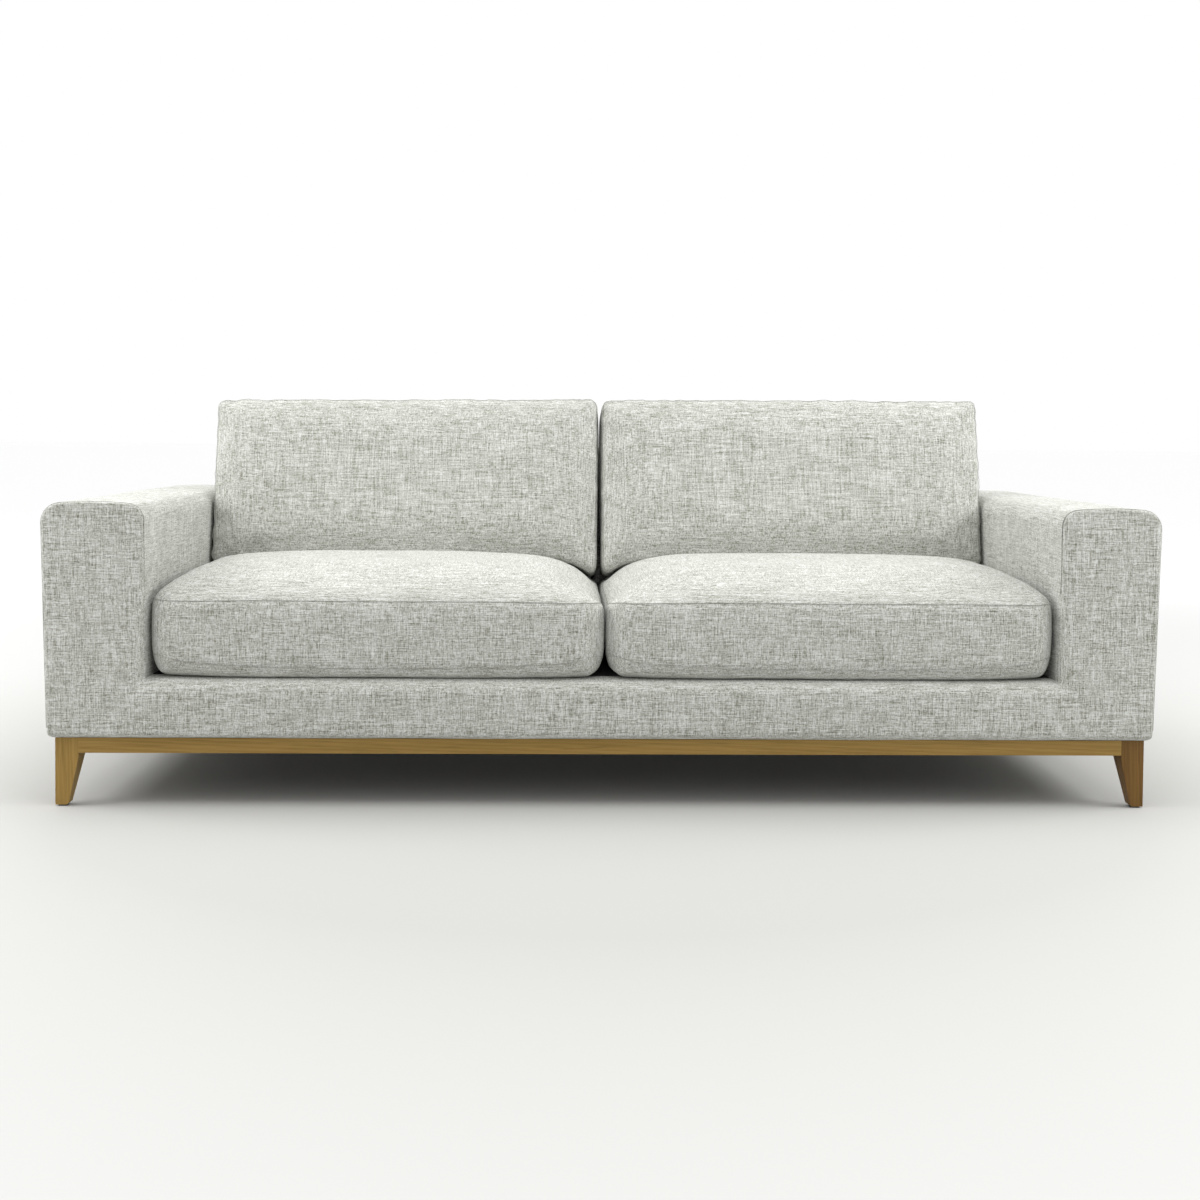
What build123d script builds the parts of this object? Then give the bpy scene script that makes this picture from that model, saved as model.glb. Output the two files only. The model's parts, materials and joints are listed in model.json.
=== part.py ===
from build123d import *
import os
from math import cos, radians, sin, sqrt, tan

# Upholstered sofa on a tapered oak leg plinth.
# Millimetres. Origin: centre of the sofa's footprint, on the floor. The front faces -Y, up is +Z,
# and "left" is -X, as seen by someone looking at the front.

# ---- driving dimensions -------------------------------------------------------------------
WIDTH = 2200.0            # over the arms
DEPTH = 900.0             # front of the arms to the outside back
HEIGHT = 815.0            # top of the back cushions
ARM_HEIGHT = 598.0        # top of the arms at their crown
ARM_WIDTH = 200.0
BODY_BOTTOM = 135.0       # underside of the upholstery
DECK_TOP = 252.0          # platform that the seat cushions lie on
BACK_TOP = 700.0          # top of the back frame, hidden behind the back cushions
CLOTH = 2.0               # thickness of every upholstery cover

# plinth and legs
LEG_FACE_X = 1075.0       # outer side face of the legs, from the middle
LEG_FACE_Y = 436.0        # outer front and rear face of the legs, from the middle
LEG_TOP = 45.0            # square block at the top of a leg
LEG_FOOT = 25.0           # square foot
LEG_STRAIGHT = 38.0       # height of the block above the taper
LEG_FOOT_RADIUS = 6.0
GLIDE_HEIGHT = 3.0
GLIDE_RADIUS = 10.0
RAIL_HEIGHT = 30.0
RAIL_THICK = 22.0

# seat
SEAT_FRONT = -445.0       # front of the seat cushions
SEAT_REAR = 222.0
SEAT_SEAM_LOW = 275.0     # seam between bottom panel and boxing
SEAT_SEAM_HIGH = 401.0    # seam between boxing and top panel
SEAT_CROWN = 468.0
SEAT_LIFT = 0.3           # clearance under a cushion
CUSHION_GAP = 1.0         # clearance between a cushion and each neighbour

# back cushions, in their own leaning frame
LEAN = 11.0               # degrees back from upright
BACK_CUSHION_FRONT = 75.0     # Y of the front bulge, at the foot of the cushion
BACK_CUSHION_FOOT = 456.0     # height of the front lower edge
BACK_CUSHION_THICK = 181.0
BACK_CUSHION_BULGE = 22.0     # how far the front face is crowned
BACK_CUSHION_ROUND = 34.0     # radius of the upper edges

# fasteners
DOWEL_RADIUS = 4.0
DOWEL_REACH = (20.0, 18.0)    # how far a dowel goes into the rail and into the leg
SCREW_RADIUS = 2.25
SCREW_HEAD_RADIUS = 4.5
SCREW_HEAD = 3.0              # height of the countersunk head
SCREW_SUNK = 2.0              # how far the head lies above the rail's underside
SCREW_LENGTH = 58.0
BOLT_RADIUS = 4.0

# worked out from the dimensions above
HALF_W = WIDTH / 2
HALF_D = DEPTH / 2
INNER = HALF_W - ARM_WIDTH    # inner face of each arm, from the middle
TAN_LEAN = tan(radians(LEAN))
SIDES = {"left": -1, "right": 1}


# ---- helpers ------------------------------------------------------------------------------
def block(x0, x1, y0, y1, z0, z1):
    """Box between two corners, given in any order along X."""
    return Pos((x0 + x1) / 2, (y0 + y1) / 2, (z0 + z1) / 2) * Box(abs(x1 - x0), y1 - y0, z1 - z0)


def rod(start, end, radius):
    """Round bar from one point to another."""
    axis = Vector(*end) - Vector(*start)
    plane = Plane(origin=start, z_dir=axis)
    return extrude(plane * Circle(radius), axis.length)


def along_x(face, x0, x1):
    """Extrude a face drawn in the YZ plane between two X positions."""
    return Pos(x0, 0, 0) * extrude(face, x1 - x0)


def along_y(face, y0, y1):
    """Extrude a face drawn in the XZ plane (its local x is X, its local y is Z)."""
    return Pos(0, y1, 0) * extrude(face, y1 - y0)


def yz_face(points):
    return Plane.YZ * make_face(Polyline(*points, close=True))


def mirror_x(part, side):
    return part if side > 0 else mirror(part, about=Plane.YZ)


def mirror_y(part):
    return mirror(part, about=Plane.XZ)


def four_corners(part):
    """Copy a part from the right rear corner to all four."""
    right = [part, mirror_y(part)]
    return right + [mirror(p, about=Plane.YZ) for p in right]


def solids_of(parts):
    """Flatten solids, compounds and nested lists into one list of solids."""
    found = []
    for part in parts if isinstance(parts, (list, tuple, ShapeList)) else [parts]:
        if isinstance(part, (list, tuple, ShapeList)):
            found += solids_of(part)
        else:
            found += list(part.solids())
    return found


def cut(part, *tools):
    """Subtract every solid in tools from the part."""
    result = part
    for tool in solids_of(list(tools)):
        result = result - tool
    return result


nodes = {}


def node(name, parts):
    nodes[name] = solids_of(parts)


# ---- fasteners of the plinth, worked out first because other parts are drilled for them -----
def plinth_dowels():
    """Two dowels in each end of each plinth rail: 16 in all."""
    dowels = []
    rail_mid = RAIL_THICK / 2
    x_joint = LEG_FACE_X - LEG_TOP
    y_joint = LEG_FACE_Y - LEG_TOP
    in_rail, in_leg = DOWEL_REACH
    for share in (0.25, 0.75):
        height = BODY_BOTTOM - share * RAIL_HEIGHT
        y = LEG_FACE_Y - rail_mid
        ends = (x_joint - in_rail, y, height), (x_joint + in_leg, y, height)
        dowels += four_corners(rod(*ends, DOWEL_RADIUS))
        x = LEG_FACE_X - rail_mid
        ends = (x, y_joint - in_rail, height), (x, y_joint + in_leg, height)
        dowels += four_corners(rod(*ends, DOWEL_RADIUS))
    return dowels


def plinth_screws():
    """Countersunk screws from under the plinth up into the frame timber."""
    def screw(x, y):
        head_z = BODY_BOTTOM - RAIL_HEIGHT + SCREW_SUNK
        shank = rod((x, y, head_z + SCREW_HEAD), (x, y, head_z + SCREW_LENGTH), SCREW_RADIUS)
        head = Pos(x, y, head_z + SCREW_HEAD / 2) * Cone(SCREW_HEAD_RADIUS, SCREW_RADIUS, SCREW_HEAD)
        return shank + head

    y = LEG_FACE_Y - RAIL_THICK / 2
    long_rails = [screw(x, s * y) for x in (-800, -400, 0, 400, 800) for s in (-1, 1)]
    x = LEG_FACE_X - RAIL_THICK / 2
    short_rails = [screw(s * x, y) for y in (-250, 0, 250) for s in (-1, 1)]
    return long_rails + short_rails


BOLT_X = LEG_FACE_X - LEG_TOP / 2
BOLT_Y = LEG_FACE_Y - LEG_TOP / 2


def leg_bolts():
    """A hanger bolt up out of the top of each leg."""
    low, high = BODY_BOTTOM - LEG_STRAIGHT, BODY_BOTTOM + 43
    return four_corners(rod((BOLT_X, BOLT_Y, low), (BOLT_X, BOLT_Y, high), BOLT_RADIUS))


dowels = plinth_dowels()
screws = plinth_screws()
bolts = leg_bolts()


# ---- legs and plinth -----------------------------------------------------------------------
def leg():
    """Right rear leg: outer faces upright, inner faces tapered below a straight block."""
    taper_z = BODY_BOTTOM - LEG_STRAIGHT

    def profile(outer):
        return [
            (outer, GLIDE_HEIGHT),
            (outer, BODY_BOTTOM),
            (outer - LEG_TOP, BODY_BOTTOM),
            (outer - LEG_TOP, taper_z),
            (outer - LEG_FOOT, GLIDE_HEIGHT),
        ]

    side_view = yz_face(profile(LEG_FACE_Y))
    front_view = Plane.XZ * make_face(Polyline(*profile(LEG_FACE_X), close=True))
    shape = along_x(side_view, LEG_FACE_X - 60, LEG_FACE_X + 1) & along_y(
        front_view, LEG_FACE_Y - 60, LEG_FACE_Y + 1
    )
    inner = shape.edges().filter_by(Axis.Y).sort_by(Axis.Z)[:2].sort_by(Axis.X)[0]
    return fillet(inner, LEG_FOOT_RADIUS)


def glide():
    """Nail-on plastic glide under the foot."""
    x = LEG_FACE_X - LEG_FOOT / 2
    y = LEG_FACE_Y - LEG_FOOT / 2
    pad = Pos(x, y, GLIDE_HEIGHT / 2) * Cylinder(GLIDE_RADIUS, GLIDE_HEIGHT)
    nail = rod((x, y, GLIDE_HEIGHT), (x, y, GLIDE_HEIGHT + 14), 1.25)
    return pad + nail


glides = four_corners(glide())
for name, solid in zip(
    ("leg_rear_right", "leg_front_right", "leg_rear_left", "leg_front_left"), four_corners(leg())
):
    node(name, cut(solid, bolts, dowels, glides))
node("floor_glides", glides)

rail_z = (BODY_BOTTOM - RAIL_HEIGHT, BODY_BOTTOM)
long_rail = block(
    -(LEG_FACE_X - LEG_TOP), LEG_FACE_X - LEG_TOP, LEG_FACE_Y - RAIL_THICK, LEG_FACE_Y, *rail_z
)
short_rail = block(
    LEG_FACE_X - RAIL_THICK, LEG_FACE_X, -(LEG_FACE_Y - LEG_TOP), LEG_FACE_Y - LEG_TOP, *rail_z
)
# clearance holes let the screw heads sit inside the rails
node("plinth_rail_rear", cut(long_rail, dowels, screws))
node("plinth_rail_front", cut(mirror_y(long_rail), dowels, screws))
node("plinth_rail_right", cut(short_rail, dowels, screws))
node("plinth_rail_left", cut(mirror_x(short_rail, -1), dowels, screws))
node("plinth_dowels", dowels)
node("plinth_screws", screws)
node("leg_bolts", bolts)


# ---- seat rails --------------------------------------------------------------------------
TIMBER_BOTTOM = BODY_BOTTOM + CLOTH
RAIL_TOP = 222.0                      # top of the seat rails
FRONT_RAIL = (-438.0, -408.0)         # Y of the front seat rail
REAR_RAIL = (232.0, 262.0)            # Y of the rear seat rail
HEEL_RAIL = (414.0, 444.0)            # Y of the bottom rail of the back
RAIL_END = INNER + 12                 # the rails reach the wood inside each arm
PLY = 12.0                            # inner panel of each arm


def seat_rail(span):
    return block(-RAIL_END, RAIL_END, *span, TIMBER_BOTTOM, RAIL_TOP)


def arm_bolts():
    """Bolts through each arm's inner panel into the ends of the rails."""
    found = []
    for y0, y1 in (FRONT_RAIL, REAR_RAIL, HEEL_RAIL):
        for z in (165, 197):
            y = (y0 + y1) / 2
            shank = rod((RAIL_END - 60, y, z), (RAIL_END + PLY, y, z), BOLT_RADIUS)
            head = rod((RAIL_END + PLY, y, z), (RAIL_END + PLY + 5.5, y, z), 7)
            found += [mirror_x(shank + head, side) for side in SIDES.values()]
    return found


rail_bolts = arm_bolts()
rails = {
    "seat_rail_front": seat_rail(FRONT_RAIL),
    "seat_rail_rear": seat_rail(REAR_RAIL),
    "back_bottom_rail": seat_rail(HEEL_RAIL),
}
for name, solid in rails.items():
    node(name, cut(solid, rail_bolts, screws))
node("arm_bolts", rail_bolts)

# cross rails run front to back under the springs
CROSS_X = (-300, 300)
CROSS_TOP = 200.0
cross_rails = [
    block(x - 12, x + 12, y0, y1, TIMBER_BOTTOM, CROSS_TOP)
    for x in CROSS_X
    for y0, y1 in ((FRONT_RAIL[1], REAR_RAIL[0]), (REAR_RAIL[1], HEEL_RAIL[0]))
]
node("seat_cross_rails", cross_rails)


def corner_block(x, y, dx, dy):
    """Triangular glue block in a corner, legs of 55 mm."""
    tri = make_face(Polyline((x, y), (x + dx * 55, y), (x, y + dy * 55), close=True))
    return extrude(Pos(0, 0, TIMBER_BOTTOM + 15) * tri, 35)


corner_blocks = []
for s in (-1, 1):
    corner_blocks.append(corner_block(s * INNER * 0.999, FRONT_RAIL[1], -s, 1))
    corner_blocks.append(corner_block(s * INNER * 0.999, REAR_RAIL[0], -s, -1))
    for x in CROSS_X:
        corner_blocks.append(corner_block(x + s * 12, FRONT_RAIL[1], s, 1))
        corner_blocks.append(corner_block(x + s * 12, REAR_RAIL[0], s, -1))
node("corner_blocks", corner_blocks)

# ---- springs ------------------------------------------------------------------------------
SPRING_COUNT = 8
SPRING_SPAN = 1540.0
WIRE_R = 1.9
SPRING_Z = RAIL_TOP + 6
LOOP_R = 11.5
LOOP_REACH = 16.0         # straight part of each loop, either side of the middle
SPRING_ENDS = (FRONT_RAIL[1] - 20, REAR_RAIL[0] + 16)


def sinuous_spring(x):
    """Zigzag wire from the front rail to the rear rail, loops joined by half circles."""
    start, end = SPRING_ENDS
    turns = int((end - start) // (2 * LOOP_R))
    y = (start + end) / 2 - turns * LOOP_R
    side = 1
    path = [Line((x, y, SPRING_Z), (x + LOOP_REACH, y, SPRING_Z))]
    for _ in range(turns):
        tip = x + side * LOOP_REACH
        path.append(
            ThreePointArc(
                (tip, y, SPRING_Z),
                (tip + side * LOOP_R, y + LOOP_R, SPRING_Z),
                (tip, y + 2 * LOOP_R, SPRING_Z),
            )
        )
        y += 2 * LOOP_R
        path.append(Line((tip, y, SPRING_Z), (x - side * LOOP_REACH, y, SPRING_Z)))
        side = -side
    path[-1] = Line(path[-1] @ 0, (x, y, SPRING_Z))
    wire = Wire(path)
    section = Plane(origin=wire @ 0, z_dir=wire % 0) * Circle(WIRE_R)
    return sweep(section, path=wire, transition=Transition.RIGHT), y


spring_x = [
    -SPRING_SPAN / 2 + i * SPRING_SPAN / (SPRING_COUNT - 1) for i in range(SPRING_COUNT)
]
first_spring, spring_rear = sinuous_spring(0)
spring_front = SPRING_ENDS[0] + SPRING_ENDS[1] - spring_rear
springs = [Pos(x, 0, 0) * first_spring for x in spring_x]
node("seat_springs", springs)


def spring_clip(x, y, reach):
    """Folded steel clip on top of a rail, holding the end run of a spring."""
    plate = block(x - 13, x + 13, y - 9, y + 9, RAIL_TOP, RAIL_TOP + 1.5)
    hood = block(x - 13, x + 13, y - 4.5, y + 4.5, RAIL_TOP + 1.5, SPRING_Z + WIRE_R + 1.5)
    slot = block(x - 14, x + 14, y - 2.4, y + 2.4, RAIL_TOP + 1.5, SPRING_Z + WIRE_R + 0.2)
    return cut(plate + hood, slot, reach)


clips = []
for x, spring in zip(spring_x, springs):
    clips += [spring_clip(x, spring_front, spring), spring_clip(x, spring_rear, spring)]
node("spring_clips", clips)
node(
    "spring_tie_wires",
    [
        rod((-870, y, SPRING_Z + WIRE_R + 1.4), (870, y, SPRING_Z + WIRE_R + 1.4), 1.2)
        for y in (-240, 60)
    ],
)

# ---- platform ------------------------------------------------------------------------------
NOSE_REAR = -380.0        # the sofa fabric of the front edge ends here, the deck cloth begins
FELT_BOTTOM = 240.0
node(
    "deck_felt",
    block(-INNER + 2, INNER - 2, NOSE_REAR, REAR_RAIL[0] - 6, FELT_BOTTOM, DECK_TOP - CLOTH),
)
inner_back_at_deck = SEAT_REAR + 7
node(
    "deck_cloth",
    block(-INNER, INNER, NOSE_REAR, inner_back_at_deck, DECK_TOP - CLOTH, DECK_TOP),
)
dust_cover = block(-INNER, INNER, NOSE_REAR, HALF_D - CLOTH, BODY_BOTTOM, BODY_BOTTOM + 1)
node("dust_cover", cut(dust_cover, screws))


# ---- front edge of the base ----------------------------------------------------------------
def nose_profile(inset):
    """Section of the base front: rounded top edge, smaller round below."""
    front, rear = -HALF_D + inset, NOSE_REAR - inset
    low, high = BODY_BOTTOM + inset, DECK_TOP - inset
    top_r, low_r = 24.0 - inset, 12.0 - inset
    k = sqrt(0.5)
    edge = Curve() + [
        Line((front, low + low_r), (front, high - top_r)),
        ThreePointArc(
            (front, high - top_r),
            (front + top_r * (1 - k), high - top_r * (1 - k)),
            (front + top_r, high),
        ),
        Polyline((front + top_r, high), (rear, high), (rear, low), (front + low_r, low)),
        ThreePointArc(
            (front + low_r, low),
            (front + low_r * (1 - k), low + low_r * (1 - k)),
            (front, low + low_r),
        ),
    ]
    return Plane.YZ * make_face(edge)


nose_outer = along_x(nose_profile(0), -INNER, INNER)
nose_inner = along_x(nose_profile(CLOTH), -INNER, INNER)
open_back = block(-INNER, INNER, NOSE_REAR - CLOTH, NOSE_REAR, TIMBER_BOTTOM, DECK_TOP - CLOTH)
node("front_rail_cover", cut(nose_outer - nose_inner - open_back, screws))
under_pad = block(-INNER, INNER, FRONT_RAIL[0], NOSE_REAR, TIMBER_BOTTOM, DECK_TOP - 16)
node("front_rail_foam", nose_inner - under_pad)


# ---- arms ----------------------------------------------------------------------------------
ARM_TOP_RADIUS_OUT = 36.0
ARM_TOP_RADIUS_IN = 30.0
ARM_CROWN = 6.0           # how far the middle of the arm's top stands above its shoulders
ARM_TAPER = 11.0          # the outer side leans in this much towards the floor
ARM_LOW_RADIUS = 12.0


def arm_profile(inset):
    """Section of the right arm in XZ: crowned top, rounded shoulders, outer side tapering in."""
    x_in, low = INNER + inset, BODY_BOTTOM + inset
    x_top, x_low = HALF_W - inset, HALF_W - ARM_TAPER - inset
    shoulder = ARM_HEIGHT - ARM_CROWN - inset
    r_out, r_in, r_low = ARM_TOP_RADIUS_OUT - inset, ARM_TOP_RADIUS_IN - inset, ARM_LOW_RADIUS - inset
    k = sqrt(0.5)
    edge = Curve() + [
        Line((x_in, low), (x_in, shoulder - r_in)),
        ThreePointArc(
            (x_in, shoulder - r_in),
            (x_in + r_in * (1 - k), shoulder - r_in * (1 - k)),
            (x_in + r_in, shoulder),
        ),
        ThreePointArc(
            (x_in + r_in, shoulder),
            ((x_in + r_in + x_top - r_out) / 2, shoulder + ARM_CROWN),
            (x_top - r_out, shoulder),
        ),
        ThreePointArc(
            (x_top - r_out, shoulder),
            (x_top - r_out * (1 - k), shoulder - r_out * (1 - k)),
            (x_top, shoulder - r_out),
        ),
        Line((x_top, shoulder - r_out), (x_low, low + r_low)),
        ThreePointArc(
            (x_low, low + r_low),
            (x_low - r_low * (1 - k), low + r_low * (1 - k)),
            (x_low - r_low, low),
        ),
        Line((x_low - r_low, low), (x_in, low)),
    ]
    return Plane.XZ * make_face(edge)


CORE_X = (RAIL_END, HALF_W - 24)
CORE_Y = HALF_D - 12
CORE_TOP = 556.0
BOARD = 20.0
HARDBOARD = 3.0

core = block(*CORE_X, -CORE_Y, CORE_Y, TIMBER_BOTTOM, CORE_TOP)
arm_outer = along_y(arm_profile(0), -HALF_D, HALF_D)
arm_inner = along_y(arm_profile(CLOTH), -HALF_D + CLOTH, HALF_D - CLOTH)
rail_solids = list(rails.values())
arm_cover = cut(arm_outer - arm_inner, rail_solids, screws, bolts)
arm_foam = cut(arm_inner - core, rail_solids, screws, bolts)

inside = (CORE_X[0] + PLY, CORE_X[1] - HARDBOARD)
boards = [
    block(*inside, -CORE_Y, -CORE_Y + BOARD, TIMBER_BOTTOM, CORE_TOP),
    block(*inside, CORE_Y - BOARD, CORE_Y, TIMBER_BOTTOM, CORE_TOP),
]
inner_y = CORE_Y - BOARD
boards += [
    block(*inside, -inner_y, inner_y, TIMBER_BOTTOM, TIMBER_BOTTOM + BOARD),
    block(*inside, -inner_y, inner_y, CORE_TOP - BOARD, CORE_TOP),
]
for y in (-140, 140):
    boards.append(
        block(*inside, y - 10, y + 10, TIMBER_BOTTOM + BOARD, CORE_TOP - BOARD)
    )
panels = [
    block(CORE_X[0], CORE_X[0] + PLY, -CORE_Y, CORE_Y, TIMBER_BOTTOM, CORE_TOP),
    block(CORE_X[1] - HARDBOARD, CORE_X[1], -CORE_Y, CORE_Y, TIMBER_BOTTOM, CORE_TOP),
]
leg_block = block(
    BOLT_X - 45, inside[1], inner_y - 60, inner_y, TIMBER_BOTTOM + BOARD, TIMBER_BOTTOM + BOARD + 40
)
node("leg_blocks", [cut(solid, bolts) for solid in four_corners(leg_block)])

for name, side in SIDES.items():
    node(f"arm_cover_{name}", mirror_x(arm_cover, side))
    node(f"arm_foam_{name}", mirror_x(arm_foam, side))
    node(
        f"arm_frame_{name}",
        [cut(mirror_x(b, side), bolts, screws, rail_bolts) for b in boards],
    )
    node(f"arm_panels_{name}", [cut(mirror_x(p, side), rail_bolts, screws) for p in panels])


# ---- back frame ----------------------------------------------------------------------------
def inner_back(z, depth=0.0):
    """Y of the leaning inner face of the back, or of a layer some depth under it."""
    return inner_back_at_deck + (z - DECK_TOP) * TAN_LEAN + depth / cos(radians(LEAN))


BACK_EDGE_RADIUS = 22.0


def back_profile(inset, low, rear_low):
    """Section of the back: leaning inner face, level top with rounded edges, upright rear."""
    top, rear, heel = BACK_TOP - inset, HALF_D - inset, HEEL_RAIL[0] - 2
    section = make_face(
        Polyline(
            (inner_back(low, inset), low),
            (inner_back(top, inset), top),
            (rear, top),
            (rear, rear_low),
            (heel, rear_low),
            (heel, low),
            close=True,
        )
    )
    tops = section.vertices().sort_by(Axis.Y)[-2:]
    return Plane.YZ * fillet(tops, BACK_EDGE_RADIUS - inset)


FOAM_DEPTH = 24.0         # foam and webbing over the ribs
back_outer = along_x(back_profile(0, DECK_TOP, BODY_BOTTOM + 1), -INNER, INNER)
back_inner = along_x(back_profile(CLOTH, DECK_TOP, BODY_BOTTOM + 1), -INNER + CLOTH, INNER - CLOTH)
shell = back_outer - back_inner
rear_sheet = block(-INNER, INNER, HALF_D - CLOTH, HALF_D, BODY_BOTTOM, BACK_TOP - 24)
open_foot = block(-INNER, INNER, HEEL_RAIL[0] - 3, HALF_D - CLOTH, BODY_BOTTOM, DECK_TOP)
inside_back_cover = cut(shell, rear_sheet, open_foot)
node("inside_back_cover", inside_back_cover)
node("outside_back_cover", rear_sheet)
node(
    "outside_back_panel",
    block(-INNER + CLOTH, INNER - CLOTH, HALF_D - 6, HALF_D - CLOTH, TIMBER_BOTTOM, BACK_TOP - 26),
)

# ribs, top rail and webbing
RIB_X = (-870, -300, 300, 870)
top_board_z = (BACK_TOP - 44, BACK_TOP - 24)
top_rail = block(
    -INNER + CLOTH,
    INNER - CLOTH,
    inner_back(top_board_z[1], FOAM_DEPTH + CLOTH) + 1,
    HALF_D - 6,
    *top_board_z,
)
rib_section = yz_face(
    [
        (inner_back(RAIL_TOP, FOAM_DEPTH + CLOTH), RAIL_TOP),
        (inner_back(top_board_z[1], FOAM_DEPTH + CLOTH), top_board_z[1]),
        (HALF_D - 6, top_board_z[1]),
        (HALF_D - 6, RAIL_TOP),
    ]
)
ribs = [cut(along_x(rib_section, x - 10, x + 10), top_rail) for x in RIB_X]
node("back_ribs", ribs)
node("back_top_rail", top_rail)

WEB_COUNT = 5
webbing = []
for i in range(WEB_COUNT):
    z = 310 + i * 78
    y = inner_back(z, FOAM_DEPTH + CLOTH - 1.1)
    webbing.append(Pos(0, y, z) * Rot(-LEAN, 0, 0) * Box(2 * INNER - 30, 2, 50))
node("back_webbing", webbing)

foam_section = yz_face(
    [
        (inner_back(DECK_TOP, CLOTH), DECK_TOP),
        (inner_back(BACK_TOP, CLOTH), BACK_TOP),
        (HALF_D, BACK_TOP),
        (HALF_D, top_board_z[1]),
        (inner_back(top_board_z[1], CLOTH + FOAM_DEPTH - 2.2), top_board_z[1]),
        (inner_back(DECK_TOP, CLOTH + FOAM_DEPTH - 2.2), DECK_TOP),
    ]
)
node(
    "inside_back_foam",
    cut(
        along_x(foam_section, -INNER + CLOTH, INNER - CLOTH) & back_inner,
        nodes["outside_back_panel"],
    ),
)


# ---- loose cushions ------------------------------------------------------------------------
ZIP_LENGTH = 700.0
ZIP_WIDTH = 24.0
ZIP_THICK = 1.4
COIL_RADIUS = 1.6
CROWN_MARGIN = 4.0        # one crown stands this much clear of the other, so they cross cleanly
WALL_MARGIN = 5.0         # sections run this far past the walls that the outline cuts
OVERRUN = 9.0             # and are extruded this far past them
SEAT_BEVEL = 26.0         # bevel along the low edges of a seat cushion
SEAT_CORNER = 55.0        # radius of its corners, seen from above
BACK_CORNER = 10.0        # bevel of a back cushion's upper corners


def seat_section(a0, a1, low, seams, crowns):
    """Outline of a seat cushion: flat bottom, bevelled low edges, top in flat facets.

    crowns gives, for each end, the facets' corners as (distance in from the end, height)."""
    seam_low, seam_high = seams
    drop = seam_low - low
    run = SEAT_BEVEL * (1 + WALL_MARGIN / drop)

    def end(facets):
        (d, z) = facets[0]
        slope = (z - seam_high) / d
        return [(-WALL_MARGIN, seam_high - WALL_MARGIN * slope), *facets]

    left = [(a0 + d, z) for d, z in end(crowns[0])]
    right = [(a1 - d, z) for d, z in reversed(end(crowns[1]))]
    lift = WALL_MARGIN * drop / SEAT_BEVEL
    return [
        *left,
        *right,
        (a1 + WALL_MARGIN, seam_low + lift),
        (a1 - run, low - WALL_MARGIN),
        (a0 + run, low - WALL_MARGIN),
        (a0 - WALL_MARGIN, seam_low + lift),
    ]


def seat_solid(inset):
    """Seat cushion: crowned top, rounded corners, boxing between two seams."""
    x0, x1 = CUSHION_GAP + inset, INNER - CUSHION_GAP - inset
    y0, y1 = SEAT_FRONT + inset, SEAT_REAR - inset
    low, crown = DECK_TOP + SEAT_LIFT + inset, SEAT_CROWN - inset
    seams = (SEAT_SEAM_LOW, SEAT_SEAM_HIGH - inset)
    rise = crown - seams[1]

    def facets(top, *corners):
        return [(d, seams[1] + share * rise + top) for d, share in corners]

    front = facets(0, (24, 0.42), (80, 0.80), (190, 1.0))
    back = facets(0, (30, 0.26), (90, 0.52), (150, 0.74), (235, 1.0))
    sides = facets(CROWN_MARGIN, (24, 0.52), (80, 0.84), (190, 1.0))
    front_back = yz_face(seat_section(y0, y1, low, seams, (front, back)))
    across = Plane.XZ * make_face(
        Polyline(*seat_section(x0, x1, low, seams, (sides, sides)), close=True)
    )
    corners = [(x0, y0), (x1, y0), (x1, y1), (x0, y1)]
    plan = make_face(FilletPolyline(*corners, radius=SEAT_CORNER - inset, close=True))
    solid = along_x(front_back, x0 - OVERRUN, x1 + OVERRUN)
    solid &= along_y(across, y0 - OVERRUN, y1 + OVERRUN)
    return solid & extrude(Pos(0, 0, low) * plan, HEIGHT)


# the highest line of a leaning back cushion is the rear end of its front upper round
BACK_CUSHION_HIGH = (
    (HEIGHT - BACK_CUSHION_FOOT)
    + (BACK_CUSHION_BULGE + BACK_CUSHION_ROUND) * sin(radians(LEAN))
) / cos(radians(LEAN))


def back_solid(inset):
    """Back cushion in its own frame: crowned front, flat back, rounded upper edges."""
    x0, x1 = CUSHION_GAP + inset, INNER - CUSHION_GAP - inset
    y0, y1 = inset, BACK_CUSHION_THICK - inset
    z0, z1 = inset, BACK_CUSHION_HIGH - inset
    edge, r = BACK_CUSHION_BULGE, BACK_CUSHION_ROUND - inset
    near = r * (1 - sqrt(0.5))
    side_view = yz_face(
        [
            (y1, z0 - WALL_MARGIN),
            (y1, z1 - r),
            (y1 - near, z1 - near),
            (y1 - r, z1),
            (y0 + edge + r, z1),
            (y0 + edge + near, z1 - near),
            (y0 + edge * 0.75, z1 - r),
            (y0, z1 - 120),
            (y0, z0 + 120),
            (y0 + edge * 0.75, z0 + 30),
            (y0 + edge * 1.5, z0 - WALL_MARGIN),
        ]
    )
    half = [(-WALL_MARGIN, edge * 1.4), (30, edge * 0.7), (130, 0.0)]
    plan_points = [(x0 + d, y0 + y - CROWN_MARGIN) for d, y in half]
    plan_points += [(x1 - d, y0 + y - CROWN_MARGIN) for d, y in reversed(half)]
    plan_points += [(x1 + WALL_MARGIN, y1 + WALL_MARGIN), (x0 - WALL_MARGIN, y1 + WALL_MARGIN)]
    plan = make_face(Polyline(*plan_points, close=True))
    c = BACK_CORNER
    front_points = [(x0, z0), (x1, z0), (x1, z1 - c), (x1 - c, z1 + 1), (x0 + c, z1 + 1), (x0, z1 - c)]
    front_view = Plane.XZ * make_face(Polyline(*front_points, close=True))
    solid = along_x(side_view, x0 - OVERRUN, x1 + OVERRUN)
    solid &= along_y(front_view, y0 - OVERRUN, y1 + OVERRUN)
    return solid & extrude(Pos(0, 0, -OVERRUN) * plan, HEIGHT)


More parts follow.
